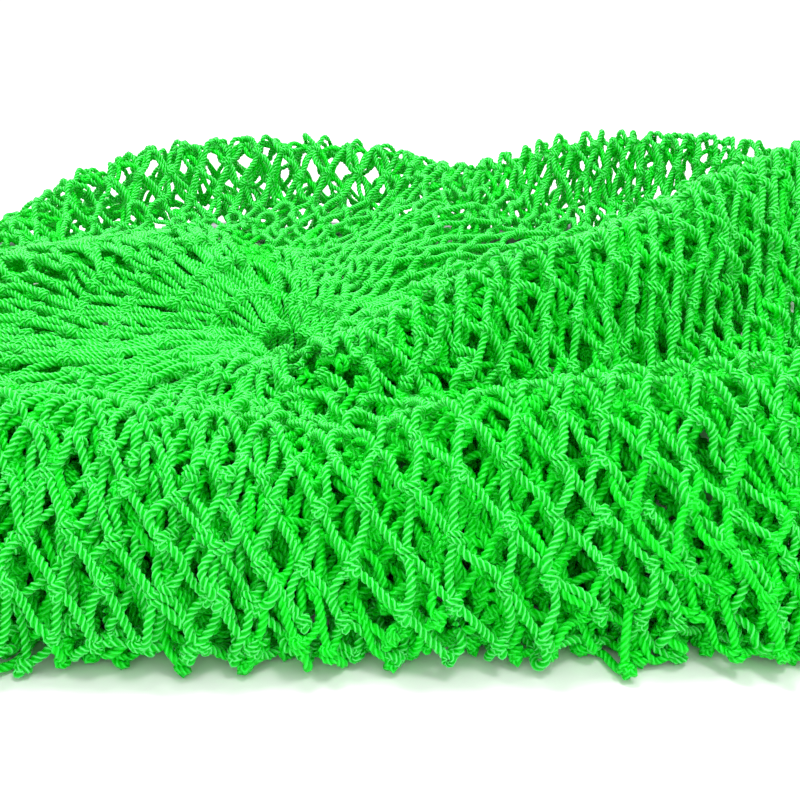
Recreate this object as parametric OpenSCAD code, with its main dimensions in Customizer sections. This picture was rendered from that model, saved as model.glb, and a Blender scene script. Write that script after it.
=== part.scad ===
// Small cast net, dropped in a loose heap: knotted diamond netting over the loops of its lead line,
// with the gathered neck, the horn, the brails and the barrel swivel lying out on the left side.
// The netting is one flexible sheet. Here it is cut into plain closed folds that touch but never
// overlap: a height rule, heap_top(), gives their upper faces, and sectors of one outline their sides.
// X runs to the right, Y away from the front, Z up. The origin is under the middle of the heap, on
// the surface that the net lies on.

/* [Heap] */
// Half of the heap's width
heap_half_w = 188; // [170:1:210]
// Half of the heap's depth
heap_half_d = 147; // [135:1:165]
// Squareness of the heap's outline: 2 is an ellipse
heap_square = 4; // [3:0.5:5]
// Height of the flat bed that the folds lie on, above the lead line
bed_h = 10; // [9.8:0.1:12]
// Height of the loose netting between the folds
mound_h = 27; // [22:1:32]
// Share of the outline's radius that the middle fold takes
middle_share = 0.42; // [0.35:0.01:0.5]
// Depth of the hollow where the pleats run together
hollow_depth = 9; // [4:1:12]

/* [Lead line] */
// Diameter of the lead line
lead_line_d = 3.5; // [3:0.1:4]
// Diameter of a sinker
sinker_d = 9; // [8:0.1:9.5]
// Length of a sinker
sinker_len = 14; // [10:1:16]
// Distance from sinker to sinker along the line
sinker_step = 50; // [40:1:80]
// Half width of the outermost run of the lead line
loop_half_w = 190; // [180:1:200]
// Half depth of the outermost run of the lead line
loop_half_d = 142; // [136:1:146]
// How far the loops lie behind the middle of the heap
loop_back = 8; // [6:1:10]
// Corner radius of the outermost run
loop_corner = 70; // [60:1:80]
// Distance between two runs of the lead line
run_gap = 11; // [10.5:0.1:12]
// Spacing of the brails' knots along the outermost run
tie_step = 92; // [80:1:120]

/* [Neck, horn and brails] */
// Radius of the horn's flange, which is also the height of the horn's axis
flange_r = 18; // [17:0.5:20]
// Outer radius of the horn's tube
horn_r = 12; // [11:0.5:13]
// Radius of the horn's bore
horn_bore_r = 9; // [8:0.5:10]
// Length of the horn
horn_len = 30; // [26:1:36]
// Length of the gathered neck of netting
neck_len = 62; // [58:1:80]
// Number of brails around the middle one
brail_count = 9; // [6:1:9]
// Diameter of a brail
brail_d = 1.3; // [1:0.1:1.4]

/* [Swivel] */
// Radius of the swivel's barrel
barrel_r = 5; // [4.6:0.1:6]
// Length of the swivel's barrel
barrel_len = 14; // [12:1:18]
// Radius of the hole in each eye
eye_bore_r = 4; // [3.5:0.1:4.5]
// Width of the metal around each eye
eye_rim = 2.2; // [2:0.1:2.6]
// Thickness of each eye along its hole
eye_thick = 3; // [2.6:0.1:3.2]

/* [Hidden] */
$fn = 64;

net_green = [0.0, 0.78, 0.18];
cord_green = [0.0, 0.55, 0.15];
lead_grey = [0.42, 0.43, 0.45];
horn_white = [0.9, 0.9, 0.86];
steel = [0.75, 0.76, 0.78];
clear_line = [0.85, 0.9, 0.88];

// ---- Height rule of the heap -------------------------------------------------------------------
// Each crest is a hand-drawn line of [x, y, height] points with a half width.
front_crest = [[-170, -98, 38], [-120, -108, 44], [-83, -116, 48], [-42, -118, 43], [-13, -118, 36],
    [17, -116, 46], [43, -110, 48], [87, -104, 50], [130, -96, 48], [170, -84, 38]];
dome_crest = [[-165, -18, 34], [-120, -4, 42], [-78, 5, 45], [-48, 0, 46]];
arch_crest = [[-150, 15, 30], [-140, 45, 36], [-132, 80, 43], [-120, 100, 50], [-88, 116, 57],
    [-40, 118, 59], [0, 116, 54], [21, 96, 43]];
wall_crest = [[21, 96, 43], [38, 108, 49], [63, 112, 59], [100, 112, 61], [145, 102, 62], [170, 60, 46]];
right_crest = [[-30, -68, 36], [-12, -72, 43], [10, -66, 52], [36, -54, 59], [63, -43, 65], [88, -24, 71],
    [114, -4, 76], [150, 14, 68]];
slope_crest = [[0, 25, 33], [21, 96, 43]];
CRESTS = [[front_crest, 27], [dome_crest, 36], [arch_crest, 15], [wall_crest, 15],
    [right_crest, 25], [slope_crest, 34]];
hollow_at = [-33, -37];
hollow_r = 20;
edge_h = 12;
blend_power = 8;
edge_power = 10;

function clamp01(t) = max(0, min(1, t));
function flat(p) = [p[0], p[1]];

// Share of the way from a to b of the point nearest to p
function along(p, a, b) = clamp01(((p - a) * (b - a)) / ((b - a) * (b - a)));

// Height that one stretch of a crest gives at p
function stretch_rise(p, a, b, half) =
    let (t = along(p, flat(a), flat(b)), q = flat(a) + t * (flat(b) - flat(a)), h = a[2] + t * (b[2] - a[2]))
    (h - edge_h) * exp(-pow(norm(p - q) / half, 2));

function crest_rise(p, crest) =
    max([for (i = [0 : len(crest[0]) - 2]) stretch_rise(p, crest[0][i], crest[0][i + 1], crest[1])]);

// Place of p between the heap's middle, 0, and its outline, 1
function outline_share(p) =
    pow(pow(abs(p[0]) / heap_half_w, heap_square) + pow(abs(p[1]) / heap_half_d, heap_square), 1 / heap_square);

function heap_top(p) =
    let (rises = concat([mound_h - edge_h], [for (c = CRESTS) crest_rise(p, c)]),
        rise = pow([for (r = rises) pow(r, blend_power)] * [for (r = rises) 1], 1 / blend_power),
        hollow = hollow_depth * exp(-pow(norm(p - hollow_at) / hollow_r, 2)),
        edge = sqrt(max(0, 1 - pow(min(1, outline_share(p)), edge_power))))
    edge_h + edge * (rise - hollow);

// Point of the outline in direction a, and the point at a share of its radius
function outline(a) =
    [cos(a), sin(a)] / outline_share([cos(a), sin(a)]);

// ---- Folds -------------------------------------------------------------------------------------
turn_step = 4;
ring_count = 13;

function ring_at(share, from, to) = [for (a = [from : turn_step : to]) share * outline(a)];

// A closed sector of the heap between two directions and two shares of the radius
module fold(from, to, low = middle_share, high = 1) {
    shares = [for (i = [0 : ring_count]) low + (high - low) * i / ring_count];
    rows = [for (s = shares) ring_at(s, from, to)];
    n = len(rows[0]);
    last = ring_count;
    top = [for (row = rows) for (p = row) [p[0], p[1], heap_top(p)]];
    under_in = len(top);
    under_out = under_in + n;
    polyhedron(
        points = concat(top,
            [for (p = rows[0]) [p[0], p[1], bed_h]],
            [for (p = rows[last]) [p[0], p[1], bed_h]]),
        faces = concat(
            [for (i = [0 : last - 1]) for (j = [0 : n - 2]) each [
                [i * n + j, i * n + j + 1, (i + 1) * n + j],
                [i * n + j + 1, (i + 1) * n + j + 1, (i + 1) * n + j]]],
            [for (j = [0 : n - 2]) each [
                [j + 1, j, under_in + j, under_in + j + 1],
                [last * n + j, last * n + j + 1, under_out + j + 1, under_out + j],
                [under_in + j, under_out + j, under_out + j + 1, under_in + j + 1]]],
            [concat([for (i = [0 : last]) i * n], [under_out, under_in])],
            [concat([for (i = [last : -1 : 0]) i * n + n - 1], [under_in + n - 1, under_out + n - 1])]),
        convexity = 6);
}

// The middle of the heap, as rings round a centre point
module middle_solid() {
    rings = 7;
    turns = [0 : turn_step : 360 - turn_step];
    n = 360 / turn_step;
    top = concat([[0, 0, heap_top([0, 0])]],
        [for (i = [1 : rings]) for (a = turns) let (p = middle_share * i / rings * outline(a))
            [p[0], p[1], heap_top(p)]]);
    outer = 1 + (rings - 1) * n;
    under = [for (j = [0 : n - 1]) [top[outer + j][0], top[outer + j][1], bed_h]];
    base = len(top);
    polyhedron(
        points = concat(top, under),
        faces = concat(
            [for (j = [0 : n - 1]) [0, 1 + (j + 1) % n, 1 + j]],
            [for (i = [0 : rings - 2]) for (j = [0 : n - 1]) let (a = 1 + i * n, b = a + n, k = (j + 1) % n) each [
                [a + j, a + k, b + j],
                [a + k, b + k, b + j]]],
            [for (j = [0 : n - 1]) let (k = (j + 1) % n) [outer + j, outer + k, base + k, base + j]],
            [[for (j = [0 : n - 1]) base + j]]),
        convexity = 6);
}

module front_fold() { color(net_green) fold(208, 332); }
module left_dome_fold() { color(net_green) fold(148, 208); }
module back_left_arch() { color(net_green) fold(80, 148); }
module back_right_wall() { color(net_green) fold(32, 80); }
module right_ridge_fold() { color(net_green) fold(-28, 32); }
module middle_fold() { color(net_green) middle_solid(); }

// The netting that hangs down the front, in front of the lead line: a strip between the outline and
// the straight line that joins its two ends
skirt_from = 230;

module front_skirt() {
    color(net_green)
        linear_extrude(bed_h)
            polygon(ring_at(1, skirt_from, 540 - skirt_from));
}

// ---- Lead line ---------------------------------------------------------------------------------
// The line is one closed loop, folded into four runs that lie side by side under the heap. They
// leave the left side open, where the neck comes out.
RUNS = [0, 1, 2, 3];
line_z = sinker_d / 2;
side_x = loop_half_w - loop_corner;
side_y = loop_half_d - loop_corner;

function run_r(k) = loop_corner - k * run_gap;
function run_len(k) = 4 * side_x + 2 * side_y + 2 * PI * run_r(k);

// [x, y, heading] at a distance along run k, which starts at the front end of the open side
function run_place(k, s) =
    let (r = run_r(k), arc = PI / 2 * r, w = 2 * side_x, d = 2 * side_y)
    s < arc ? corner_place(-side_x, -side_y, r, 180, s)
    : s < arc + w ? [-side_x + s - arc, -side_y - r, 0]
    : s < 2 * arc + w ? corner_place(side_x, -side_y, r, 270, s - arc - w)
    : s < 2 * arc + w + d ? [side_x + r, -side_y + s - 2 * arc - w, 90]
    : s < 3 * arc + w + d ? corner_place(side_x, side_y, r, 0, s - 2 * arc - w - d)
    : s < 3 * arc + 2 * w + d ? [side_x - s + 3 * arc + w + d, side_y + r, 180]
    : corner_place(-side_x, side_y, r, 90, s - 3 * arc - 2 * w - d);

function corner_place(x, y, r, start, s) =
    let (a = start + s / r * 180 / PI) [x + r * cos(a), y + r * sin(a), a + 90];

module on_run(k, s) {
    place = run_place(k, s);
    translate([place[0], place[1] + loop_back, line_z])
        rotate([0, 90, place[2]])
            children();
}

// A bent stretch of line: part of a ring round [x, y]
module bend(x, y, r, start, sweep) {
    translate([x, y + loop_back, line_z])
        rotate([0, 0, start])
            rotate_extrude(angle = sweep)
                translate([r, 0])
                    circle(d = lead_line_d);
}

module straight(x, y, heading, length) {
    translate([x, y + loop_back, line_z])
        rotate([0, 90, heading])
            cylinder(d = lead_line_d, h = length);
}

module lead_line() {
    color(cord_green) {
        for (k = RUNS) {
            r = run_r(k);
            bend(-side_x, -side_y, r, 180, 90);
            straight(-side_x, -side_y - r, 0, 2 * side_x);
            bend(side_x, -side_y, r, 270, 90);
            straight(side_x + r, -side_y, 90, 2 * side_y);
            bend(side_x, side_y, r, 0, 90);
            straight(side_x, side_y + r, 180, 2 * side_x);
            bend(-side_x, side_y, r, 90, 90);
        }
        middle_r = (run_r(1) + run_r(2)) / 2;
        bend(-side_x - middle_r, -side_y, run_gap / 2, 0, 180);
        bend(-side_x - middle_r, -side_y, 3 * run_gap / 2, 0, 180);
        bend(-side_x - (run_r(0) + run_r(1)) / 2, side_y, run_gap / 2, 180, 180);
        bend(-side_x - (run_r(2) + run_r(3)) / 2, side_y, run_gap / 2, 180, 180);
    }
}

first_sinker = 12;
last_margin = 10;
sinker_bore_r = lead_line_d / 2 + 0.8;
sinker_round = 1.5;

// Distances along run k at which it carries a sinker, staggered from run to run
function sinker_stops(k) =
    let (first = first_sinker + (k % 2) * sinker_step / 2)
    [for (s = [first : sinker_step : run_len(k) - last_margin]) s];

module sinkers() {
    color(lead_grey)
        for (k = RUNS)
            for (s = sinker_stops(k))
                on_run(k, s)
                    rotate_extrude()
                        polygon([
                            [sinker_bore_r, -sinker_len / 2],
                            [sinker_d / 2 - sinker_round, -sinker_len / 2],
                            [sinker_d / 2, -sinker_len / 2 + sinker_round],
                            [sinker_d / 2, sinker_len / 2 - sinker_round],
                            [sinker_d / 2 - sinker_round, sinker_len / 2],
                            [sinker_bore_r, sinker_len / 2]]);
}

// Whippings of thin cord that hold the netting's hem to the lead line, one between two sinkers
lacing_thick = 1;
lacing_len = 6;

module hem_lacing() {
    color(cord_green)
        for (k = RUNS)
            for (s = sinker_stops(k))
                if (s + sinker_step / 2 < run_len(k) - 2)
                    on_run(k, s + sinker_step / 2)
                        rotate_extrude()
                            translate([lead_line_d / 2 + 0.1, -lacing_len / 2])
                                square([lacing_thick, lacing_len]);
}

// Where the brails are tied to the lead line, on its outermost run
knot_len = 5;
knot_thick = 1.3;

module brail_knots() {
    color(clear_line)
        for (i = [1 : brail_count + 1])
            on_run(0, first_sinker + sinker_step * floor(i * tie_step / sinker_step) + sinker_len)
                rotate_extrude()
                    translate([lead_line_d / 2 + 0.1, -knot_len / 2])
                        square([knot_thick, knot_len]);
}

// The netting inside the loops, which fills the space down to the surface
bed_gap = 6.5;

module base_bed() {
    inner_r = run_r(3) - bed_gap;
    color(net_green)
        translate([0, loop_back, 0])
            linear_extrude(bed_h)
                hull()
                    for (x = [-side_x, side_x])
                        for (y = [-side_y, side_y])
                            translate([x, y])
                                circle(r = inner_r);
}

// ---- Neck, horn and brails ---------------------------------------------------------------------
// They lie along one axis that points to the left, out of the heap.
axis_z = flange_r;
neck_x = -heap_half_w - 1;
horn_x = neck_x - neck_len + 16;
neck_wall_r = horn_r + 2.6;
neck_half_w = 30;
grip_len = 15;

// Lays a shape that is drawn along +Z on the axis, starting at x and pointing left
module on_axis(x) {
    translate([x, 0, axis_z])
        rotate([0, -90, 0])
            children();
}

module neck_gather() {
    color(net_green)
        difference() {
            union() {
                hull() {
                    translate([neck_x - 6, 0, axis_z - 3])
                        scale([6 / neck_half_w, 1, 0.4])
                            sphere(r = neck_half_w, $fn = 32);
                    on_axis(horn_x + 8)
                        cylinder(r = neck_wall_r, h = 2, $fn = 32);
                }
                on_axis(horn_x + 7)
                    cylinder(r = neck_wall_r, h = grip_len + 7);
            }
            on_axis(neck_x + 10)
                cylinder(r = 6, h = neck_len + 20);
            on_axis(horn_x + 0.2)
                cylinder(r = horn_r + 0.2, h = horn_len);
        }
}

module horn() {
    color(horn_white)
        on_axis(horn_x)
            rotate_extrude()
                polygon(concat(
                    [[horn_bore_r + 1.5, 0], [horn_r, 0], [horn_r, horn_len - 11]],
                    [for (a = [0 : 15 : 90]) [horn_r + (flange_r - horn_r) * (1 - cos(a)),
                        horn_len - 11 + (flange_r - horn_r) * sin(a)]],
                    [[flange_r, horn_len - 2], [flange_r - 1.5, horn_len], [horn_bore_r + 3, horn_len],
                        [horn_bore_r, horn_len - 4], [horn_bore_r, 2]]));
}

lash_d = 2;
lash_turns = 4;

module horn_lashing() {
    color(cord_green)
        for (i = [0 : lash_turns - 1])
            on_axis(horn_x - 3 - i * (lash_d + 0.2))
                rotate_extrude()
                    translate([neck_wall_r + lash_d / 2 + 0.05, 0])
                        circle(d = lash_d, $fn = 24);
}

brail_ring_r = 2.5;
brail_in_x = neck_x - 4;
sleeve_x = horn_x - horn_len - 12;
sleeve_len = 10;

module brails() {
    color(clear_line) {
        on_axis(brail_in_x)
            cylinder(d = brail_d, h = brail_in_x - sleeve_x + 8);
        for (i = [0 : brail_count - 1])
            rotate_around_axis(i * 360 / brail_count)
                on_axis(brail_in_x)
                    translate([brail_ring_r, 0, 0])
                        cylinder(d = brail_d, h = brail_in_x - sleeve_x + 8);
    }
}

module rotate_around_axis(a) {
    translate([0, 0, axis_z])
        rotate([a, 0, 0])
            translate([0, 0, -axis_z])
                children();
}

module brail_sleeve() {
    color(steel)
        on_axis(sleeve_x)
            difference() {
                cylinder(r = 4.4, h = sleeve_len);
                translate([0, 0, -1])
                    cylinder(r = 3.3, h = sleeve_len);
            }
}

// A loop of brail line that stands on the sleeve and passes through the inner eye
loop_r = 4.2;
loop_d = 1.8;
loop_x = sleeve_x - sleeve_len - loop_r - loop_d / 2 + 0.4;

module brail_loop() {
    color(clear_line)
        translate([loop_x, 0, axis_z])
            rotate_extrude()
                translate([loop_r, 0])
                    circle(d = loop_d, $fn = 32);
}

// ---- Swivel ------------------------------------------------------------------------------------
eye_out_r = eye_bore_r + eye_rim;
shank_r = 1.6;
head_r = 2.9;
head_len = 2.2;
shank_len = 5.6;
wall = 2.2;
eye_x = loop_x - loop_r - eye_bore_r + loop_d / 2 + 0.2;
barrel_x = eye_x - eye_out_r - 1.2;
line_eye_x = barrel_x - barrel_len - 1.2 - eye_out_r;

// A flat ring with its hole across the axis, and a headed shank that points left
module eye() {
    difference() {
        union() {
            rotate([90, 0, 0])
                cylinder(r = eye_out_r, h = eye_thick, center = true);
            rotate([0, -90, 0])
                cylinder(r = shank_r, h = eye_out_r + shank_len);
            translate([-eye_out_r - shank_len, 0, 0])
                rotate([0, 90, 0])
                    cylinder(r = head_r, h = head_len);
        }
        rotate([90, 0, 0])
            cylinder(r = eye_bore_r, h = 2 * eye_out_r, center = true);
    }
}

module inner_eye() { color(steel) translate([eye_x, 0, axis_z]) eye(); }
module line_eye() { color(steel) translate([line_eye_x, 0, axis_z]) mirror([1, 0, 0]) eye(); }

module swivel_barrel() {
    color(steel)
        on_axis(barrel_x)
            difference() {
                rotate_extrude()
                    polygon([[0, 0], [barrel_r - 1.2, 0], [barrel_r, 1.5], [barrel_r, barrel_len - 1.5],
                        [barrel_r - 1.2, barrel_len], [0, barrel_len]]);
                translate([0, 0, -1])
                    cylinder(r = shank_r + 0.08, h = barrel_len + 2);
                translate([0, 0, wall - 0.4])
                    cylinder(r = head_r + 0.3, h = barrel_len - 2 * wall + 0.8);
            }
}

front_fold();
left_dome_fold();
back_left_arch();
back_right_wall();
right_ridge_fold();
middle_fold();
front_skirt();
base_bed();
neck_gather();
lead_line();
sinkers();
hem_lacing();
brail_knots();
horn();
horn_lashing();
brails();
brail_sleeve();
brail_loop();
inner_eye();
swivel_barrel();
line_eye();
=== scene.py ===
import math

import bpy
import numpy as np
from mathutils.bvhtree import BVHTree
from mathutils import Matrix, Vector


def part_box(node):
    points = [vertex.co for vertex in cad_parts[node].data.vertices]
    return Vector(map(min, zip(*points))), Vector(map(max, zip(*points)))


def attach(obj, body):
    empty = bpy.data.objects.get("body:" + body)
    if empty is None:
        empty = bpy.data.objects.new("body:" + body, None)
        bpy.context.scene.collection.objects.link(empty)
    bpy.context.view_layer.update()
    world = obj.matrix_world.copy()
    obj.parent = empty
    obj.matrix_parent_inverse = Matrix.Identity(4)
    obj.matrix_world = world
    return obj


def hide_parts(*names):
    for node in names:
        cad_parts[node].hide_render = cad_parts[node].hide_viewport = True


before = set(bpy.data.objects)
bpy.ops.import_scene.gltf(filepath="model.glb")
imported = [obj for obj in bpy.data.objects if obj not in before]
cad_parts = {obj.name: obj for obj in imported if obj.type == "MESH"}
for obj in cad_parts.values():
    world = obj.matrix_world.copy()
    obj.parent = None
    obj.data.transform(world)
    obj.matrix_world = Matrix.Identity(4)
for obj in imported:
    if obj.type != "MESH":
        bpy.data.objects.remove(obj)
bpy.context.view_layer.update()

# A small cast net dropped in a heap. The heap's netting is modelled knot by knot and bar by bar: each
# sheet of diamond mesh is laid over the CAD folds along columns that run down the slope, settled by
# pulling in the bars that have become too long, and then built as three-strand twine. The strands
# are twisted in the mesh on the sheets that show, and only shaded on the ones below them.
# Everything is in metres.

BAR = 0.013             # from knot to knot
TWINE_R = 0.001         # radius of the netting twine
LAY = 0.0045            # length in which a strand of the twine goes once round
MAX_TRIS = 180000       # about the most in one piece
FLOOR = 0.0
KNOT_REST = 0.0025      # height of a knot's middle that lies on the floor
TWINE_REST = 0.0012     # height of the middle of twine that lies on the floor
FRONT_EDGE = -0.1495    # the netting ends here, on the floor

FOLDS = ["front_fold", "left_dome_fold", "back_left_arch",
         "back_right_wall", "right_ridge_fold", "middle_fold"]
HOLLOW = np.array([-0.033, -0.037])     # where the pleats run together
HOLLOW_START = 0.010    # how far from the hollow's middle the dome's pleats start


def unit(v):
    return v / np.maximum(np.linalg.norm(v, axis=-1, keepdims=True), 1e-12)


# ---- Camera, light and stage --------------------------------------------------------------------
CAMERA_PLACE = (0.0, -0.326, 0.144)
CAMERA_PITCH = 25.0     # degrees down
CAMERA_FIELD = 40.0     # degrees across

# Name, place, diameter and power in watts of each lamp, all aimed at the same point of the heap
LAMPS = (("key", (-0.25, 0.30, 1.1), 0.4, 9), ("front", (0.30, -0.25, 1.1), 0.3, 3.5))
LAMP_AIM = (0, 0, 0.03)
STAGE_SIZE = 12


def make_camera():
    data = bpy.data.cameras.new("camera")
    data.sensor_fit = "HORIZONTAL"
    data.angle = math.radians(CAMERA_FIELD)
    data.clip_start = 0.01
    camera = bpy.data.objects.new("camera", data)
    camera.location = CAMERA_PLACE
    camera.rotation_euler = (math.radians(90 - CAMERA_PITCH), 0, 0)
    bpy.context.collection.objects.link(camera)
    bpy.context.scene.camera = camera


def make_lamp(name, place, size, power):
    data = bpy.data.lights.new(name, "AREA")
    data.shape = "DISK"
    data.size = size
    data.energy = power
    lamp = bpy.data.objects.new(name, data)
    lamp.location = place
    direction = np.subtract(LAMP_AIM, place)
    lamp.rotation_euler = (
        math.acos(-direction[2] / np.linalg.norm(direction)), 0,
        math.atan2(direction[1], direction[0]) - math.pi / 2)
    bpy.context.collection.objects.link(lamp)


def make_stage():
    scene = bpy.context.scene
    scene.view_settings.view_transform = "Standard"
    world = bpy.data.worlds.new("studio")
    world.use_nodes = True
    background = world.node_tree.nodes["Background"]
    background.inputs["Color"].default_value = (1, 1, 1, 1)
    background.inputs["Strength"].default_value = 1.0
    scene.world = world
    for lamp in LAMPS:
        make_lamp(*lamp)
    bpy.ops.mesh.primitive_plane_add(size=STAGE_SIZE, location=(0, 0, FLOOR))
    floor = bpy.context.object
    floor.name = "floor"
    material = bpy.data.materials.new("floor")
    material.use_nodes = True
    shader = material.node_tree.nodes["Principled BSDF"]
    shader.inputs["Base Color"].default_value = (0.9, 0.9, 0.9, 1)
    shader.inputs["Roughness"].default_value = 0.9
    floor.data.materials.append(material)


# ---- Height of the CAD heap ---------------------------------------------------------------------
class Ground:
    """Heights on a square grid, read off the CAD folds from above."""

    def __init__(self, names, step=0.003, margin=0.03):
        verts, faces = [], []
        for name in names:
            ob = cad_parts[name]
            base = len(verts)
            verts += [ob.matrix_world @ v.co for v in ob.data.vertices]
            faces += [[base + i for i in p.vertices] for p in ob.data.polygons]
        tree = BVHTree.FromPolygons(verts, faces)
        low = np.min([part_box(n)[0] for n in names], axis=0)
        high = np.max([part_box(n)[1] for n in names], axis=0)
        self.step = step
        self.start = low[:2] - margin
        self.count = ((high[:2] - low[:2] + 2 * margin) / step).astype(int) + 1
        self.z = np.zeros(self.count)
        above = 0.5
        for i in range(self.count[0]):
            for j in range(self.count[1]):
                x, y = self.start + step * np.array([i, j])
                hit = tree.ray_cast((x, y, above), (0, 0, -1))[0]
                self.z[i, j] = hit[2] if hit else FLOOR

    def like(self, z):
        other = object.__new__(Ground)
        other.step, other.start, other.count, other.z = self.step, self.start, self.count, z
        return other

    def smoothed(self, times):
        z = self.z.copy()
        for _ in range(times):
            p = np.pad(z, 1, mode="edge")
            z = (p[1:-1, 1:-1] * 4 + p[:-2, 1:-1] + p[2:, 1:-1] + p[1:-1, :-2] + p[1:-1, 2:]) / 8
        return self.like(z)

    def opened(self, cells):
        """Without the crests narrower than about twice this many cells."""
        z = self.z
        for pick in [np.minimum] * cells + [np.maximum] * cells:
            p = np.pad(z, 1, mode="edge")
            z = pick.reduce([p[i:i + z.shape[0], j:j + z.shape[1]] for i in range(3) for j in range(3)])
        return self.like(z)

    def at(self, xy):
        g = (np.asarray(xy) - self.start) / self.step
        g = np.clip(g, 0, np.array(self.count) - 1.001)
        i = g.astype(int)
        f = g - i
        z = self.z
        i0, j0 = i[..., 0], i[..., 1]
        fx, fy = f[..., 0], f[..., 1]
        return ((z[i0, j0] * (1 - fx) + z[i0 + 1, j0] * fx) * (1 - fy)
                + (z[i0, j0 + 1] * (1 - fx) + z[i0 + 1, j0 + 1] * fx) * fy)

    def normal(self, xy):
        d = self.step
        xy = np.asarray(xy)
        gx = (self.at(xy + [d, 0]) - self.at(xy - [d, 0])) / (2 * d)
        gy = (self.at(xy + [0, d]) - self.at(xy - [0, d])) / (2 * d)
        return unit(np.stack([-gx, -gy, np.ones_like(gx)], axis=-1))


# ---- Sheets of diamond mesh ---------------------------------------------------------------------
class Net:
    """Knots, bars between them, which way is out at each knot, and the ground below."""

    def __init__(self, knots, bars, out, ground, lift=0.0):
        self.knots, self.bars, self.out = knots, bars, out
        self.ground, self.lift = ground, lift


def waves(points, rng, size, count=5):
    """A smooth random field of 3-vectors, about 1 high, with features of the given size."""
    field = np.zeros(points.shape)
    for _ in range(count):
        k = unit(rng.normal(size=3)) * 2 * math.pi / (size * rng.uniform(0.7, 1.5))
        field += rng.normal(size=3) * np.sin(points @ k + rng.uniform(0, 2 * math.pi))[..., None]
    return field / math.sqrt(count)


def drape(ground, starts, heading, reach, wrap=False, turn=None, slant=0.0, tuck=0.0, walk=0.001):
    """Columns of knots laid down the ground from their starts, and then back under it for a length tuck."""
    columns = len(starts)
    steps = int(reach / walk)
    track = np.empty((columns, steps, 3))
    place = starts.copy()
    for k in range(steps):
        height = ground.at(place)
        track[:, k, :2] = place
        track[:, k, 2] = height
        a = heading + (turn(k * walk) if turn else 0.0)
        place = place + walk * np.stack([np.cos(a), np.sin(a)], axis=-1)
        run = np.hypot(walk, ground.at(place) - height)
        drift = run * math.tan(slant)
        place = place + drift[:, None] * np.stack([-np.sin(a), np.cos(a)], axis=-1)
    onwards = np.stack([np.cos(heading), np.sin(heading), np.zeros(columns)], axis=-1)
    back = np.arange(1, int(tuck / walk) + 1)[:, None] * -walk * onwards[:, None]
    under = track[:, -1:] + back
    under[..., 2] = FLOOR + KNOT_REST
    net = knotted(np.concatenate([track, under], axis=1), wrap, ground)
    net.out = ground.normal(net.knots[:, :2])
    return net


def knotted(track, wrap, ground=None):
    """Knots along neighbouring tracks, an array (columns, steps, 3), spaced so that the bars nearly fit."""
    columns, steps, _ = track.shape
    if wrap:
        side = (np.roll(track, -1, axis=0) - np.roll(track, 1, axis=0)) / 2
    else:
        side = np.gradient(track, axis=0)
    widest = 0.93 * BAR
    half = np.minimum(np.linalg.norm(side, axis=-1), widest)
    row_height = np.sqrt(BAR ** 2 - half ** 2)
    run = np.linalg.norm(np.diff(track, axis=1), axis=-1)
    run = np.concatenate([np.zeros((columns, 1)), run], axis=1)
    rows = np.cumsum(run / row_height, axis=1)
    evening_rounds = 12
    for _ in range(evening_rounds):
        before, after = (rows[-1:], rows[:1]) if wrap else (rows[:1], rows[-1:])
        p = np.concatenate([before, rows, after])
        rows = (p[:-2] + 2 * p[1:-1] + p[2:]) / 4
    most = int(rows[:, -1].max()) + 1
    index = -np.ones((columns, most), int)
    knots = []
    for c in range(columns):
        for j in range(c % 2, most, 2):
            if j > rows[c, -1]:
                break
            k = np.interp(j, rows[c], np.arange(steps))
            low = min(int(k), steps - 2)
            index[c, j] = len(knots)
            knots.append(track[c, low] + (k - low) * (track[c, low + 1] - track[c, low]))
    bars = []
    for c in range(columns if wrap else columns - 1):
        following = (c + 1) % columns
        for j in range(c % 2, most, 2):
            for other in (j - 1, j + 1):
                if 0 <= other < most and index[c, j] >= 0 and index[following, other] >= 0:
                    ends = (index[c, j], index[following, other])
                    bars.append(ends if other > j else ends[::-1])
    knots = np.array(knots)
    return Net(knots, np.array(bars), np.zeros_like(knots), ground)


def trimmed(net, keep):
    """The net without the knots for which keep is false."""
    new = np.cumsum(keep) - 1
    stay = keep[net.bars].all(axis=1)
    return Net(net.knots[keep], new[net.bars[stay]], net.out[keep], net.ground, net.lift)


def closed_meshes(net, rounds=4):
    """The net without the bars that end in the air."""
    for _ in range(rounds):
        held = np.bincount(net.bars.ravel(), minlength=len(net.knots)) > 1
        net = trimmed(net, held)
    return net


def settle(net, rng, lift, loose, jitter, rounds=40, moved=None, unrest=1.0):
    """Lifts the net off the ground, ruffles it, and pulls in the bars that are too long, most of the way."""
    longest, stride, return_share = BAR * 0.985, 1.7, 0.03
    target = net.knots + net.out * lift
    ruffles = waves(net.knots, rng, 0.05) * loose * [0.7, 0.7, 0.5]
    ruffles = ruffles + waves(net.knots, rng, 0.018) * loose * 0.45
    ruffles = ruffles + rng.normal(size=target.shape) * jitter
    target = target + ruffles * unrest
    if moved is not None:
        target = target + moved
    knots = target.copy()
    a, b = net.bars[:, 0], net.bars[:, 1]
    weight = np.bincount(np.concatenate([a, b]), minlength=len(knots))[:, None].clip(1)
    for _ in range(rounds):
        span = knots[b] - knots[a]
        length = np.linalg.norm(span, axis=1, keepdims=True)
        pull = span / np.maximum(length, 1e-9) * np.maximum(length - longest, 0) * 0.5
        move = np.zeros_like(knots)
        for axis in range(3):
            move[:, axis] = (np.bincount(a, pull[:, axis], len(knots))
                             - np.bincount(b, pull[:, axis], len(knots)))
        knots = knots + move / weight * stride
        knots = knots + (target - knots) * return_share
        knots[:, 1] = np.maximum(knots[:, 1], FRONT_EDGE)
        knots[:, 2] = np.maximum(knots[:, 2], FLOOR + KNOT_REST)
    net.knots, net.lift = knots, lift
    return net


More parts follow.
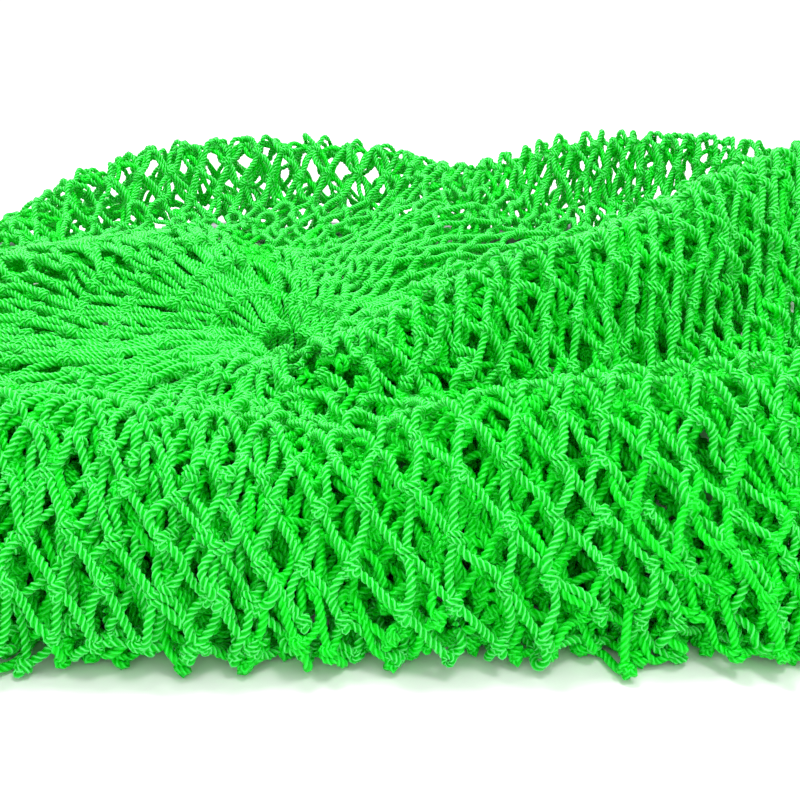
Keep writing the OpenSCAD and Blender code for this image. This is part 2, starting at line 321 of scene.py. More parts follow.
# ---- Twisted twine ------------------------------------------------------------------------------
class Twine:
    """How finely twine is drawn: sides and rings of a bar and of a knot's turns, and how many turns."""

    def __init__(self, sides, rings, knot_rings, wraps, twisted=True):
        self.sides, self.rings, self.knot_rings = sides, rings, knot_rings
        self.wraps, self.twisted = wraps, twisted


NEAR = Twine(6, 22, 13, 2)
DISTANT = Twine(5, 9, 9, 2, twisted=False)
BURIED = Twine(4, 5, 6, 1, twisted=False)


def tube(paths, radius, sides, lay=LAY, phase=None, twisted=True, loop=False):
    """Three-strand twine along paths, an array (tubes, rings, 3). Returns points, faces and strands.

    A strands row holds the cosine and sine of the angle round the section, and an angle to add to three
    times that one. The strands' crests lie where the sum is a whole turn.
    """
    count, rings, _ = paths.shape
    along = unit(np.gradient(paths, axis=1))
    if loop:
        along[:, [0, -1]] = unit(along[:, :1] + along[:, -1:])
    run = np.linalg.norm(np.diff(paths, axis=1), axis=-1)
    travelled = np.concatenate([np.zeros((count, 1)), np.cumsum(run, axis=1)], axis=1)
    turned = travelled / lay * 2 * math.pi
    if phase is not None:
        turned = turned + phase[:, None]
    if loop:
        ref = np.cross(along[:, 0], paths[:, rings // 2] - paths[:, 0])
    else:
        span = unit(paths[:, -1] - paths[:, 0])
        ref = np.where(np.abs(span[:, 2:3]) < 0.8, [[0.0, 0.0, 1.0]], [[1.0, 0.0, 0.0]])
    side = unit(np.cross(along, ref[:, None]))
    up = np.cross(side, along)
    angles = np.arange(sides) * 2 * math.pi / sides
    radii = np.full(sides, 1.1 if sides < 5 else 1.0)
    if twisted and sides == 6:
        radii = np.tile([1.06, 0.76], 3)
    place = np.broadcast_to(angles, (count, rings, sides)) - (turned[:, :, None] if twisted else 0.0)
    size = radius * radii
    points = (paths[:, :, None, :]
              + (size * np.cos(place))[..., None] * side[:, :, None, :]
              + (size * np.sin(place))[..., None] * up[:, :, None, :])
    ring = np.arange(rings - 1)
    j = np.arange(sides)
    r0, j0 = np.meshgrid(ring, j, indexing="ij")
    j1 = (j0 + 1) % sides
    here, there = r0 * sides, (r0 + 1) * sides
    quad = np.stack([here + j0, there + j0, there + j1, here + j1], axis=-1)
    base = (np.arange(count) * rings * sides)[:, None, None]
    ends = np.stack([j, ((rings - 1) * sides + j)[::-1]])
    groups = [(quad.reshape(-1, 4)[None] + base).reshape(-1, 4), (ends[None] + base).reshape(-1, sides)]
    strands = np.zeros((count, rings, sides, 3))
    strands[..., 0] = np.cos(angles)
    strands[..., 1] = np.sin(angles)
    if not twisted:
        strands[..., 2] = 3 * turned[:, :, None]
    return points.reshape(-1, 3), groups, strands.reshape(-1, 3)


def join(parts):
    """One list of points, of faces by their size and of strands from several."""
    points, strands, faces, base = [], [], {}, 0
    for p, groups, part_strands in parts:
        points.append(p)
        strands.append(part_strands)
        for g in groups:
            faces.setdefault(g.shape[1], []).append(g + base)
        base += len(p)
    return np.concatenate(points), [np.concatenate(v) for v in faces.values()], np.concatenate(strands)


def knot_template(detail):
    """A sheet bend: x across the mesh, y along it, z out of it. The loops' sizes are in millimetres."""
    mm = 0.001
    parts = []
    t = np.linspace(0, 2 * math.pi, detail.knot_rings)
    for k in range(detail.wraps):
        y = (k - (detail.wraps - 1) / 2) * 1.35
        lean = 0.55 if k else 0.35
        loop = np.stack([1.15 * np.cos(t), y + lean * np.cos(t + 0.5), 0.9 * np.sin(t)], axis=-1) * mm
        half_round = math.pi * mm
        parts.append(tube(loop[None], 0.82 * mm, detail.sides, half_round, None, detail.twisted, loop=True))
    t = np.linspace(-1, 1, max(5, detail.knot_rings - 4))
    bight = np.stack([0.95 * t, 1.7 - 2.5 * t ** 2, 0.95 - 0.9 * np.abs(t) ** 3], axis=-1) * mm
    parts.append(tube(bight[None], 0.85 * mm, detail.sides, twisted=detail.twisted))
    return join(parts)


def knot_frames(net, rng):
    """Axes of each knot: across the mesh, along it and out of it."""
    a, b = net.bars[:, 0], net.bars[:, 1]
    span = net.knots[b] - net.knots[a]
    along = np.zeros_like(net.knots)
    for axis in range(3):
        along[:, axis] = (np.bincount(a, span[:, axis], len(along))
                          + np.bincount(b, span[:, axis], len(along)))
    along = unit(along + rng.normal(size=along.shape) * 0.25 * BAR + 1e-9)
    out = unit(net.out + rng.normal(size=along.shape) * 0.35)
    across = unit(np.cross(along, out))
    flip = np.where(rng.random(len(along)) < 0.5, -1.0, 1.0)[:, None]
    across = across * flip
    out = np.cross(across, along)
    return np.stack([across, along, out], axis=1)


def bar_paths(net, rng, rings):
    """Slack bars bow, mostly downwards, and are held up where they dip into the ground below their net."""
    a, b = net.knots[net.bars[:, 0]], net.knots[net.bars[:, 1]]
    span = b - a
    length = np.linalg.norm(span, axis=1, keepdims=True)
    # How far a shallow arc a little longer than a bar stands off its chord
    slack = np.sqrt(np.maximum(0.375 * (BAR * 1.02 - length) * length, 0.0))
    way = rng.normal(size=span.shape)
    way = way - unit(span) * np.sum(way * unit(span), axis=1, keepdims=True)
    way = unit(way + [0, 0, -0.4])
    t = np.linspace(0.02, 0.98, rings)[None, :, None]
    sway = unit(np.cross(unit(span), way))
    bend = rng.normal(size=(len(a), 1)) * 0.0006
    path = (a[:, None] + span[:, None] * t
            + way[:, None] * slack[:, None] * 4 * t * (1 - t)
            + sway[:, None] * bend[:, None] * np.sin(2 * math.pi * t))
    if net.ground:
        give, folded_under = 0.0005, 0.006
        short = net.ground.at(path[:, :, :2]) + net.lift - give - path[:, :, 2]
        tucked = short.max(axis=1, keepdims=True) > folded_under
        path[:, :, 2] += np.where(tucked, 0, np.maximum(short, 0)) * np.sin(math.pi * t[:, :, 0])
    path[:, :, 2] = np.maximum(path[:, :, 2], FLOOR + TWINE_REST)
    return path


def make_mesh(name, points, groups, strands, material):
    me = bpy.data.meshes.new(name)
    me.vertices.add(len(points))
    me.vertices.foreach_set("co", points.astype(np.float32).ravel())
    loops = np.concatenate([g.ravel() for g in groups])
    sizes = np.concatenate([np.full(len(g), g.shape[1]) for g in groups])
    starts = np.concatenate([[0], np.cumsum(sizes)[:-1]])
    me.loops.add(len(loops))
    me.loops.foreach_set("vertex_index", loops.astype(np.int32))
    me.polygons.add(len(sizes))
    me.polygons.foreach_set("loop_start", starts.astype(np.int32))
    me.polygons.foreach_set("use_smooth", np.ones(len(sizes), bool))
    me.update(calc_edges=True)
    strand = me.attributes.new("strand", "FLOAT_VECTOR", "POINT")
    strand.data.foreach_set("vector", strands.astype(np.float32).ravel())
    me.materials.append(material)
    ob = bpy.data.objects.new(name, me)
    bpy.context.collection.objects.link(ob)
    return ob


def tris_of(net, detail):
    _, groups, _ = knot_template(detail)
    knot = sum(len(g) * (g.shape[1] - 2) for g in groups)
    bar = detail.sides * (detail.rings - 1) * 2 + 2 * (detail.sides - 2)
    return len(net.knots) * knot + len(net.bars) * bar


def net_pieces(name, net, seed, detail, material, order):
    """Builds a sheet as one piece, or as several by the order value when it has too many faces."""
    parts = max(1, math.ceil(tris_of(net, detail) / MAX_TRIS))
    edges = np.quantile(order, np.linspace(0, 1, parts + 1))
    owner = np.clip(np.searchsorted(edges, order, side="right") - 1, 0, parts - 1)
    made = []
    for k in range(parts):
        mine = owner == k
        stay = mine[net.bars[:, 0]]
        used = mine.copy()
        used[net.bars[stay].ravel()] = True
        new = np.cumsum(used) - 1
        part = Net(net.knots[used], new[net.bars[stay]], net.out[used], net.ground, net.lift)
        own = mine[used]
        rng = np.random.default_rng(seed + k)
        paths = bar_paths(part, rng, detail.rings)
        phase = rng.uniform(0, 2 * math.pi, len(paths))
        bars = tube(paths, TWINE_R, detail.sides, phase=phase, twisted=detail.twisted)
        points, groups, strands = knot_template(detail)
        frames = knot_frames(part, rng)[own]
        centres = part.knots[own]
        size = rng.uniform(0.92, 1.1, (len(frames), 1, 1))
        placed = np.einsum("vk,nkc->nvc", points, frames) * size + centres[:, None]
        base = (np.arange(len(frames)) * len(points))[:, None, None]
        knots = (placed.reshape(-1, 3), [(g[None] + base).reshape(-1, g.shape[1]) for g in groups],
                 np.tile(strands, (len(frames), 1)))
        piece = make_mesh(f"{name}_{k + 1}", *join([bars, knots]), material)
        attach(piece, "net")
        made.append(piece)
    return made


# ---- Materials ----------------------------------------------------------------------------------
def new_material(name):
    material = bpy.data.materials.new(name)
    material.use_nodes = True
    return material, material.node_tree, material.node_tree.nodes["Principled BSDF"]


def twine_material(name, groove_shade_colour, strand_colour, tint_colour, painted_highlight_colour):
    """Three strands whose crests and grooves follow the strand attribute. The grooves are painted darker, a
    painted shade, and the crests a paler mint, a painted highlight.
    """
    material, tree, shader = new_material(name)
    nodes, links = tree.nodes, tree.links

    def math_node(operation, *inputs):
        node = nodes.new("ShaderNodeMath")
        node.operation = operation
        for socket, value in zip(node.inputs, inputs):
            if isinstance(value, (int, float)):
                socket.default_value = value
            else:
                links.new(value, socket)
        return node.outputs["Value"]

    def spread_node(value, from_low, from_high, to_low, to_high):
        node = nodes.new("ShaderNodeMapRange")
        node.inputs["From Min"].default_value = from_low
        node.inputs["From Max"].default_value = from_high
        node.inputs["To Min"].default_value = to_low
        node.inputs["To Max"].default_value = to_high
        links.new(value, node.inputs["Value"])
        return node.outputs["Result"]

    def mix_node(factor, first, second):
        node = nodes.new("ShaderNodeMix")
        node.data_type = "RGBA"
        links.new(factor, node.inputs["Factor"])
        if isinstance(first, tuple):
            node.inputs["A"].default_value = (*first, 1)
        else:
            links.new(first, node.inputs["A"])
        node.inputs["B"].default_value = (*second, 1)
        return node.outputs["Result"]

    strand = nodes.new("ShaderNodeAttribute")
    strand.attribute_name = "strand"
    parts = nodes.new("ShaderNodeSeparateXYZ")
    links.new(strand.outputs["Vector"], parts.inputs["Vector"])
    round_section = math_node("ARCTAN2", parts.outputs["Y"], parts.outputs["X"])
    wave = math_node("COSINE", math_node("MULTIPLY_ADD", round_section, 3, parts.outputs["Z"]))
    crest = math_node("SQRT", math_node("MULTIPLY_ADD", wave, 0.4999, 0.5))
    place = nodes.new("ShaderNodeTexCoord")
    blotch = nodes.new("ShaderNodeTexNoise")
    blotch.inputs["Scale"].default_value = 90
    blotch.inputs["Detail"].default_value = 4
    fibre = nodes.new("ShaderNodeTexNoise")
    fibre.inputs["Scale"].default_value = 2600
    fibre.inputs["Detail"].default_value = 2
    links.new(place.outputs["Object"], blotch.inputs["Vector"])
    links.new(place.outputs["Object"], fibre.inputs["Vector"])
    # Painted shade: the grooves between the strands are painted darker than the crests
    strands = mix_node(spread_node(crest, 0.1, 0.75, 0, 1), groove_shade_colour, strand_colour)
    tinted = mix_node(spread_node(blotch.outputs["Fac"], 0.45, 0.75, 0, 0.6), strands, tint_colour)
    # Painted highlight: the crests are painted a paler mint, as if lit
    painted_highlight = mix_node(spread_node(crest, 0.80, 1.0, 0, 0.8), tinted, painted_highlight_colour)
    links.new(painted_highlight, shader.inputs["Base Color"])
    links.new(spread_node(fibre.outputs["Fac"], 0, 1, 0.24, 0.36), shader.inputs["Roughness"])
    bump = nodes.new("ShaderNodeBump")
    bump.inputs["Strength"].default_value = 1.0
    bump.inputs["Distance"].default_value = 0.00035
    links.new(math_node("MULTIPLY_ADD", fibre.outputs["Fac"], 0.12, crest), bump.inputs["Height"])
    links.new(bump.outputs["Normal"], shader.inputs["Normal"])
    shader.inputs["Specular IOR Level"].default_value = 0.5
    shader.inputs["Specular Tint"].default_value = (0.30, 1.0, 0.60, 1)
    shader.inputs["Sheen Weight"].default_value = 0.05
    shader.inputs["Sheen Roughness"].default_value = 0.4
    shader.inputs["Sheen Tint"].default_value = (0.0, 1.0, 0.40, 1)
    return material


def speckled(name, dark, light, scale, rough, bump_size, metal=0.0, detail=6.0):
    """A hard material whose colour, roughness and fine relief all follow one noise."""
    material, tree, shader = new_material(name)
    nodes, links = tree.nodes, tree.links
    place = nodes.new("ShaderNodeTexCoord")
    noise = nodes.new("ShaderNodeTexNoise")
    noise.inputs["Scale"].default_value = scale
    noise.inputs["Detail"].default_value = detail
    links.new(place.outputs["Object"], noise.inputs["Vector"])
    colour = nodes.new("ShaderNodeMix")
    colour.data_type = "RGBA"
    colour.inputs["A"].default_value = (*dark, 1)
    colour.inputs["B"].default_value = (*light, 1)
    links.new(noise.outputs["Fac"], colour.inputs["Factor"])
    links.new(colour.outputs["Result"], shader.inputs["Base Color"])
    spread = nodes.new("ShaderNodeMapRange")
    spread.inputs["To Min"].default_value = rough[0]
    spread.inputs["To Max"].default_value = rough[1]
    links.new(noise.outputs["Fac"], spread.inputs["Value"])
    links.new(spread.outputs["Result"], shader.inputs["Roughness"])
    bump = nodes.new("ShaderNodeBump")
    bump.inputs["Strength"].default_value = 0.4
    bump.inputs["Distance"].default_value = bump_size
    links.new(noise.outputs["Fac"], bump.inputs["Height"])
    links.new(bump.outputs["Normal"], shader.inputs["Normal"])
    shader.inputs["Metallic"].default_value = metal
    return material


def finish_node(node, material):
    """Gives a CAD node that is shown as it is its material."""
    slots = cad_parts[node].data.materials
    slots.clear()
    slots.append(material)


def make_hardware():
    lead = speckled("cast_lead", (0.16, 0.165, 0.175), (0.33, 0.335, 0.35),
                    900, (0.45, 0.7), 0.0002, metal=0.85)
    plastic = speckled("moulded_plastic", (0.50, 0.50, 0.46), (0.58, 0.58, 0.54),
                       160, (0.28, 0.42), 0.00005)
    steel = speckled("swivel_steel", (0.30, 0.31, 0.33), (0.44, 0.45, 0.47),
                     700, (0.18, 0.36), 0.00004, metal=1.0)
    clear = speckled("clear_line", (0.36, 0.45, 0.43), (0.48, 0.57, 0.55),
                     500, (0.12, 0.25), 0.00003)
    finish_node("sinkers", lead)
    finish_node("horn", plastic)
    for node in ("brail_sleeve", "inner_eye", "swivel_barrel", "line_eye"):
        finish_node(node, steel)
    for node in ("brails", "brail_loop"):
        finish_node(node, clear)
    return clear


# ---- The heap's sheets --------------------------------------------------------------------------
ARCH_BEHIND = 0.095     # the arch at the back left lies beyond this


def polar(points):
    """Angle round the hollow."""
    d = points[:, :2] - HOLLOW
    return np.arctan2(d[:, 1], d[:, 0])


def by_x(points):
    return points[:, 0]


def pleats(net):
    """Ridges and valleys that run out from the hollow."""
    return net.out * (0.0015 * np.sin(26 * polar(net.knots)))[:, None]


def staggers(net):
    """Moves the knots along their bars, pleat by pleat, so that they stand in no rows."""
    angle = polar(net.knots)
    slide = 0.004 * (np.sin(37 * angle + 1) + np.sin(61 * angle + 2) + np.sin(97 * angle))
    return slide[:, None] * np.stack([np.cos(angle), np.sin(angle), np.zeros(len(angle))], axis=-1)


def crown(ground, columns, swirl, start, centre=HOLLOW, reach=0.3):
    """Netting that runs from a hollow outwards in every direction."""
    angle = np.arange(columns) * 2 * math.pi / columns
    starts = centre + start * np.stack([np.cos(angle), np.sin(angle)], axis=-1)
    return drape(ground, starts, angle, reach, wrap=True, turn=lambda s: swirl * math.exp(-s / 0.05))


DOME_FROM, DOME_TO = 98, 218            # degrees round the hollow
DOME_REACH = 0.122


def dome(ground, columns):
    """The closed meshes of the dome at the left: pleats of two columns each that run into the hollow."""
    angle = np.radians(np.linspace(DOME_FROM, DOME_TO, columns))
    angle = angle + 0.0035 * np.where(np.arange(columns) % 4 < 2, 1, -1)
    starts = HOLLOW + HOLLOW_START * np.stack([np.cos(angle), np.sin(angle)], axis=-1)
    return drape(ground, starts, angle, DOME_REACH - HOLLOW_START, turn=lambda s: 0.5 * math.exp(-s / 0.05))


# The line that the right ridge's crest follows, seen from above
RIGHT_CREST = np.array([
    [-0.030, -0.068], [-0.012, -0.072], [0.036, -0.054], [0.063, -0.043],
    [0.088, -0.024], [0.114, -0.004], [0.150, 0.014], [0.178, 0.020]])


def apron(ground, spacing, slant, behind, shift=0.0):
    """Netting that hangs from behind the front crest down to the floor, its edge tucked under.

    Its columns lean by slant degrees.
    """
    low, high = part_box("front_fold")
    x = np.arange(low[0] - 0.04 + shift, high[0] + 0.01, spacing)
    starts = np.stack([x, np.full(len(x), behind)], axis=-1)
    heading = np.full(len(x), math.radians(-90))
    return drape(ground, starts, heading, behind - FRONT_EDGE, slant=math.radians(slant), tuck=0.016)


WALL_FROM, WALL_BEHIND = 0.022, 0.078   # the standing fold at the back right lies beyond these x and y
WALL_TO, WALL_BACK, WALL_DEPTH = 0.178, 0.149, 0.085


def wall(ground, spacing, shift=0.0):
    """Netting that stands up in a fold at the back right, its back and front faces one mesh thick."""
    x = np.arange(WALL_FROM + shift, WALL_TO, spacing)
    starts = np.stack([x, np.full(len(x), WALL_BACK)], axis=-1)
    return drape(ground, starts, np.full(len(x), math.radians(-90)), WALL_DEPTH, slant=math.radians(-4))


def flank(ground, spacing, back, reach, shift=0.0):
    """Netting that hangs over the right crest and down its front."""
    edges = np.diff(RIGHT_CREST, axis=0)
    run = np.concatenate([[0], np.cumsum(np.linalg.norm(edges, axis=1))])
    s = np.arange(shift, run[-1], spacing)
    place = np.stack([np.interp(s, run, RIGHT_CREST[:, i]) for i in range(2)], axis=-1)
    way = np.stack([np.interp(s, (run[1:] + run[:-1]) / 2, unit(edges)[:, i]) for i in range(2)], axis=-1)
    down = np.stack([way[:, 1], -way[:, 0]], axis=-1)
    return drape(ground, place - back * down, np.full(len(s), math.radians(-84)), reach)


# ---- Neck ---------------------------------------------------------------------------------------
def neck(columns, inset):
    """Netting that runs from the horn, where it is lashed on, out into the heap."""
    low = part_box("neck_gather")[0]
    horn_low, horn_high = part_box("horn")
    axis_z = (horn_low.z + horn_high.z) / 2
    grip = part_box("horn_lashing")[1].z - axis_z - 0.0021 - inset
    # Stations along the neck: place, half width, half height and height of the middle
    stations = np.array([
        [low.x, grip, grip, axis_z],
        [low.x + 0.022, grip, grip, axis_z],
        [low.x + 0.036, 0.019 - inset, 0.013 - inset, axis_z - 0.002],
        [low.x + 0.056, 0.030 - inset, 0.011 - inset, 0.015],
        [low.x + 0.078, 0.044 - inset, 0.010 - inset, 0.014],
        [low.x + 0.100, 0.060 - inset, 0.008 - inset, 0.014]])
    steps = np.linspace(stations[0, 0], stations[-1, 0], 100)
    half_w, half_h, middle = (np.interp(steps, stations[:, 0], stations[:, i]) for i in (1, 2, 3))
    angle = np.arange(columns)[:, None] * 2 * math.pi / columns
    track = np.stack([
        np.broadcast_to(steps, (columns, len(steps))),
        half_w * np.cos(angle),
        middle + half_h * np.sin(angle)], axis=-1)
    net = knotted(track, True)
    net.out = unit((net.knots - [0, 0, axis_z]) * [0, 1, 1])
    return net


# ---- Cords that the net holds, and small windings -----------------------------------------------
LINE_R = 0.00175        # radius of the lead line
RUNS, CORNER, RUN_GAP = 4, 0.070, 0.011
SIDE_X, SIDE_Y, LOOP_BACK = 0.120, 0.072, 0.008
LINE_Z = 0.0045


def run_length(k):
    """Length of run k: two long sides, the right side between them, and four rounded corners."""
    return 4 * SIDE_X + 2 * SIDE_Y + 2 * math.pi * (CORNER - k * RUN_GAP)


def run_place(k, s):
    """Point and heading at a distance along run k of the lead line, as the CAD lays it."""
    r = CORNER - k * RUN_GAP
    arc, width, depth = math.pi / 2 * r, 2 * SIDE_X, 2 * SIDE_Y
    for length, corner, start, straight in (
            (arc, (-SIDE_X, -SIDE_Y), 180, None),
            (width, (-SIDE_X, -SIDE_Y - r), 0, (1, 0)),
            (arc, (SIDE_X, -SIDE_Y), 270, None),
            (depth, (SIDE_X + r, -SIDE_Y), 90, (0, 1)),
            (arc, (SIDE_X, SIDE_Y), 0, None),
            (width, (SIDE_X, SIDE_Y + r), 180, (-1, 0)),
            (arc, (-SIDE_X, SIDE_Y), 90, None)):
        if s <= length + 1e-9:
            break
        s -= length
    if straight:
        x, y = corner[0] + s * straight[0], corner[1] + s * straight[1]
        return np.array([x, y + LOOP_BACK, LINE_Z]), start
    a = math.radians(start) + s / r
    place = np.array([corner[0] + r * math.cos(a), corner[1] + LOOP_BACK + r * math.sin(a), LINE_Z])
    return place, start + 90 + math.degrees(s / r)


def half_turn(x, y, r, start):
    """Points of a half circle that joins two runs, without its ends."""
    angles = np.radians(start) + np.linspace(0, math.pi, 14)[1:-1]
    return [[x + r * math.cos(a), y + LOOP_BACK + r * math.sin(a), LINE_Z] for a in angles]


def lead_line_path(step=0.0013):
    """The whole closed line: its runs side by side, joined by half turns on the open side."""
    runs = []
    for k in range(RUNS):
        count = int(run_length(k) / step)
        runs.append([run_place(k, s)[0] for s in np.linspace(0, run_length(k), count)])
    r = [CORNER - k * RUN_GAP for k in range(RUNS)]
    back_01 = half_turn(-SIDE_X - (r[0] + r[1]) / 2, SIDE_Y, RUN_GAP / 2, 180)
    back_23 = half_turn(-SIDE_X - (r[2] + r[3]) / 2, SIDE_Y, RUN_GAP / 2, 180)
    front_12 = half_turn(-SIDE_X - (r[1] + r[2]) / 2, -SIDE_Y, RUN_GAP / 2, 0)
    front_30 = half_turn(-SIDE_X - (r[1] + r[2]) / 2, -SIDE_Y, 3 * RUN_GAP / 2, 0)
    path = runs[0] + back_01 + runs[1][::-1] + front_12[::-1] + runs[2] + back_23 + runs[3][::-1] + front_30
    return np.array(path)


def helix(turns, radius, pitch, rings, flare):
    """A winding round +X, its ends drawn out by flare."""
    t = np.linspace(0, 1, rings)
    a = t * turns * 2 * math.pi
    out = radius + flare * np.maximum(0, np.abs(2 * t - 1) - 0.9) * 10
    return np.stack([(t - 0.5) * turns * pitch, out * np.cos(a), out * np.sin(a)], axis=-1)


def windings(places, turns, radius, wire, rings, flare, sides=3):
    """The same winding at every (point, heading)."""
    shape = helix(turns, radius, 2.05 * wire, rings, flare)
    paths = []
    for place, heading in places:
        a = math.radians(heading)
        turn = np.array([[math.cos(a), math.sin(a), 0], [-math.sin(a), math.cos(a), 0], [0, 0, 1]])
        paths.append(place + shape @ turn)
    return tube(np.array(paths), wire, sides)


SINKER_STEP, FIRST_SINKER, LAST_MARGIN = 0.050, 0.012, 0.010


def lacing_places():
    """Points and headings halfway between the sinkers of each run."""
    places = []
    for k in range(RUNS):
        first = FIRST_SINKER + (k % 2) * SINKER_STEP / 2
        for s in np.arange(first, run_length(k) - LAST_MARGIN + 1e-9, SINKER_STEP):
            if s + SINKER_STEP / 2 < run_length(k) - 0.002:
                places.append(run_place(k, s + SINKER_STEP / 2))
    return places


def brail_knot_places():
    """Points and headings of the brails' knots, at sinkers of the outermost run."""
    tie_step, sinker_len, ties = 0.092, 0.014, 10
    return [run_place(0, FIRST_SINKER + SINKER_STEP * int(i * tie_step / SINKER_STEP + 1e-6) + sinker_len)
            for i in range(1, ties + 1)]


def cord_piece(name, parts, material, node):
    piece = make_mesh(name, *parts, material)
    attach(piece, "net")
    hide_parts(node)
    return piece


def make_cords(hem, clear):
    line = tube(lead_line_path()[None], LINE_R, 6, lay=0.0075)
    cord_piece("lead_line_rope", line, hem, "lead_line")
    lacing = windings(lacing_places(), 5.5, LINE_R + 0.0006, 0.0005, 50, flare=0.0003)
    cord_piece("hem_lacing_turns", lacing, hem, "hem_lacing")
    knots = windings(brail_knot_places(), 3.5, LINE_R + 0.00075, 0.00065, 36, flare=0.0004)
    cord_piece("brail_knot_turns", knots, clear, "brail_knots")
    low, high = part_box("horn_lashing")
    middle = (low + high) / 2
    radius = high.z - middle.z - 0.001
    lashing = windings([(np.array(middle), 0)], 4.2, radius, 0.00105, 420, sides=6, flare=0.0002)
    cord_piece("horn_lashing_turns", lashing, hem, "horn_lashing")


# ---- Which part of the heap each sheet covers ----------------------------------------------------
def on_heap(net):
    """Without the knots outside the heap's rounded rectangle."""
    half, corner = np.array([0.192, 0.151]), 0.070
    past = np.maximum(np.abs(net.knots[:, :2]) - (half - corner), 0)
    return trimmed(net, np.hypot(past[:, 0], past[:, 1]) < corner)


def off_wall(net):
    """Without the knots where the fold at the back right has netting of its own."""
    return trimmed(net, ~((net.knots[:, 0] > WALL_FROM) & (net.knots[:, 1] > WALL_BEHIND)))


def off_arch(net):
    """Without the knots at the back, where the fold is thin enough to see through."""
    return trimmed(net, net.knots[:, 1] < ARCH_BEHIND)


def on_arch(net):
    """Only the knots at the back, and a row or two in front of them."""
    return trimmed(net, net.knots[:, 1] > ARCH_BEHIND - 0.008)


def off_dome(net):
    """Without the knots where the dome's closed pleats lie."""
    overlap = 3
    d = net.knots[:, :2] - HOLLOW
    angle = np.degrees(np.arctan2(d[:, 1], d[:, 0])) % 360
    near = np.hypot(d[:, 0], d[:, 1]) < DOME_REACH - HOLLOW_START
    return trimmed(net, ~(near & (angle > DOME_FROM + overlap) & (angle < DOME_TO - overlap)))


def off_flank(net):
    """Without the knots where the right crest's netting covers the slope in front of it."""
    left_end, overlap = -0.022, 0.004
    crest_y = np.interp(net.knots[:, 0], RIGHT_CREST[:, 0], RIGHT_CREST[:, 1])
    return trimmed(net, ~((net.knots[:, 0] > left_end) & (net.knots[:, 1] < crest_y - overlap)))


def above_front(net):
    """Without the knots that the front fold's netting covers."""
    return trimmed(net, net.knots[:, 1] > -0.088)


# ---- The sheets ---------------------------------------------------------------------------------
def make_sheet(name, net, seed, lift, loose, detail, order, material, moved=None):
    """Settles a sheet on the heap and builds it. The arch at the back is drawn out, so it ruffles less."""
    net = closed_meshes(on_heap(net))
    rng = np.random.default_rng(seed)
    shift = moved(net) if moved else None
    unrest = np.where(net.knots[:, 1] > ARCH_BEHIND, 0.3, 1.0)[:, None]
    net = settle(net, rng, lift, loose, 0.0012, moved=shift, unrest=unrest)
    return net_pieces(name, net, seed * 100, detail, material, order(net.knots))


def make_crown(skin, core, outer, inner):
    """The heap's top from the hollow to its edges: four layers, but only three close ones at the arch.

    Returns the outermost layer's pieces.
    """
    net = off_dome(off_flank(off_wall(crown(skin, 164, 0.5, 0.012))))
    first = make_sheet("crown_net", net, 11, 0.001, 0.003, NEAR, polar, outer, moved=pleats)
    net = off_arch(off_wall(crown(skin, 150, 0.2, 0.016)))
    make_sheet("crown_under_net", net, 12, -0.003, 0.005, DISTANT, polar, inner)
    net = on_arch(off_wall(crown(skin, 164, 0.512, 0.012)))
    make_sheet("arch_under_net", net, 17, -0.0015, 0.003, NEAR, polar, outer)
    net = on_arch(off_wall(crown(skin, 164, 0.488, 0.012)))
    make_sheet("arch_third_net", net, 18, -0.0025, 0.003, DISTANT, polar, inner)
    net = off_arch(off_wall(crown(core, 146, -0.2, 0.016, HOLLOW + [0.05, 0.02])))
    make_sheet("crown_third_net", net, 13, -0.007, 0.006, DISTANT, polar, inner)
    net = off_arch(off_wall(crown(core, 140, 0.6, 0.016, HOLLOW + [-0.05, 0.03])))
    make_sheet("crown_deep_net", net, 14, -0.016, 0.006, BURIED, polar, inner)
    net = crown(skin, 52, 0.3, 0.004, reach=0.04)
    make_sheet("hollow_net", net, 15, -0.002, 0.002, NEAR, polar, outer)
    return first


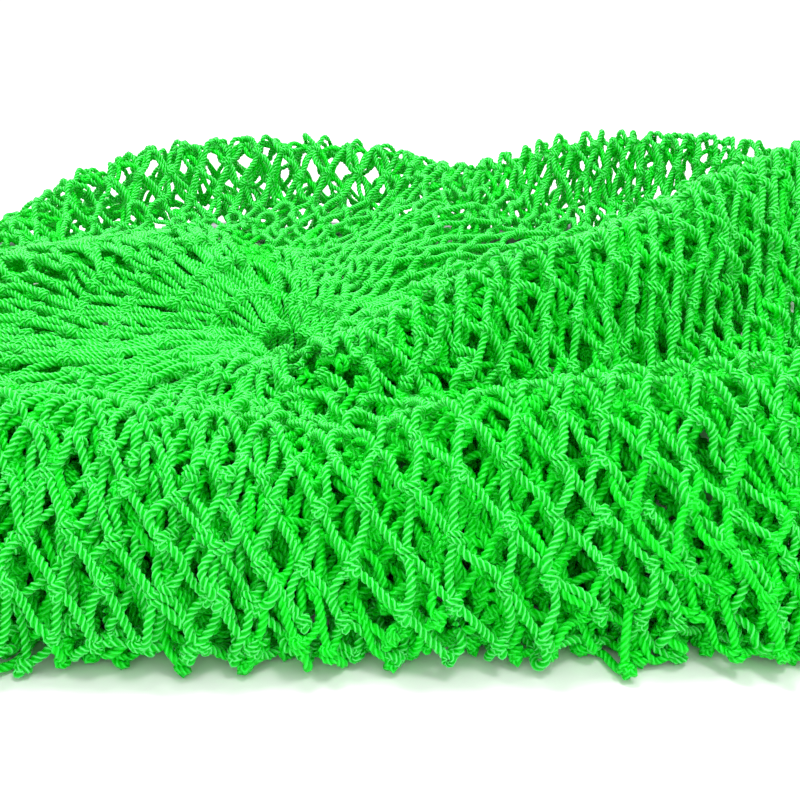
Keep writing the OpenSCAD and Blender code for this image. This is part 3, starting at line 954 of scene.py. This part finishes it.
def make_folds(skin, outer, inner):
    """The netting of the dome, of the standing fold, of the front fold and of the right ridge."""
    make_sheet("dome_net", dome(skin, 72), 16, 0.002, 0.0035, NEAR, polar, outer, moved=staggers)
    make_sheet("wall_net", wall(skin, 0.0037), 41, 0.001, 0.002, NEAR, by_x, outer)
    make_sheet("wall_under_net", wall(skin, 0.0044, 0.001), 42, -0.003, 0.003, DISTANT, by_x, inner)
    for name, net, seed, lift, loose, detail, material in (
            ("apron_net", apron(skin, 0.0048, 16, -0.080), 21, 0.003, 0.004, NEAR, outer),
            ("apron_under_net", apron(skin, 0.0046, 10, -0.085, 0.002), 22, -0.001, 0.005, NEAR, inner),
            ("apron_cross_net", apron(skin, 0.0050, -14, -0.085, 0.001), 25, -0.003, 0.005, NEAR, inner),
            ("apron_third_net", apron(skin, 0.0044, 18, -0.090, 0.001), 23, -0.0055, 0.005, DISTANT, inner),
            ("apron_deep_net", apron(skin, 0.0044, 6, -0.090, 0.003), 24, -0.0085, 0.005, DISTANT, inner),
            ("flank_net", above_front(flank(skin, 0.0042, 0.012, 0.10)), 31, 0.003, 0.003, NEAR, outer),
            ("flank_under_net", above_front(flank(skin, 0.0044, 0.02, 0.11)),
             32, -0.001, 0.004, NEAR, inner),
            ("flank_third_net", above_front(flank(skin, 0.0046, 0.03, 0.12, 0.002)),
             33, -0.006, 0.004, DISTANT, inner)):
        make_sheet(name, net, seed, lift, loose, detail, by_x, material)


def make_neck(material):
    """Two layers of gathered netting from the horn to the heap."""
    for k, (columns, inset, detail) in enumerate([(30, 0.0, NEAR), (28, 0.002, DISTANT)]):
        net = settle(neck(columns, inset), np.random.default_rng(51 + k), 0.0, 0.0008, 0.0004)
        made = net_pieces(f"neck_net_{k + 1}", net, 5100 + k, detail, material, by_x(net.knots))
        if k == 0:
            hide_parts("neck_gather")


def main():
    make_camera()
    make_stage()
    ground = Ground(FOLDS)
    skin = ground.smoothed(1)
    core = ground.opened(4).smoothed(3)
    # Two copies of one twine. The outer sheets' copy has the stronger painted highlight on its crests. The
    # inner sheets' copy is painted brighter, standing in for light that reaches the sheets below, and has a
    # weaker painted highlight
    outer = twine_material("netting", groove_shade_colour=(0.0, 0.57, 0.0), strand_colour=(0.0, 0.83, 0.006),
                           tint_colour=(0.0, 0.84, 0.015), painted_highlight_colour=(0.17, 0.92, 0.27))
    inner = twine_material("netting_inside", groove_shade_colour=(0.0, 0.74, 0.0), strand_colour=(0.0, 0.90, 0.0),
                           tint_colour=(0.0, 0.91, 0.006), painted_highlight_colour=(0.04, 0.93, 0.09))
    first = make_crown(skin, core, outer, inner)
    make_folds(skin, outer, inner)
    make_neck(outer)
    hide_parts(*FOLDS, "front_skirt", "base_bed")
    # The lead line's cord, with the same painted groove shade and painted crest highlight as the netting
    hem = twine_material("hem_cord", groove_shade_colour=(0.0, 0.28, 0.0), strand_colour=(0.0, 0.60, 0.02),
                         tint_colour=(0.02, 0.62, 0.0), painted_highlight_colour=(0.10, 0.72, 0.18))
    make_cords(hem, make_hardware())


main()
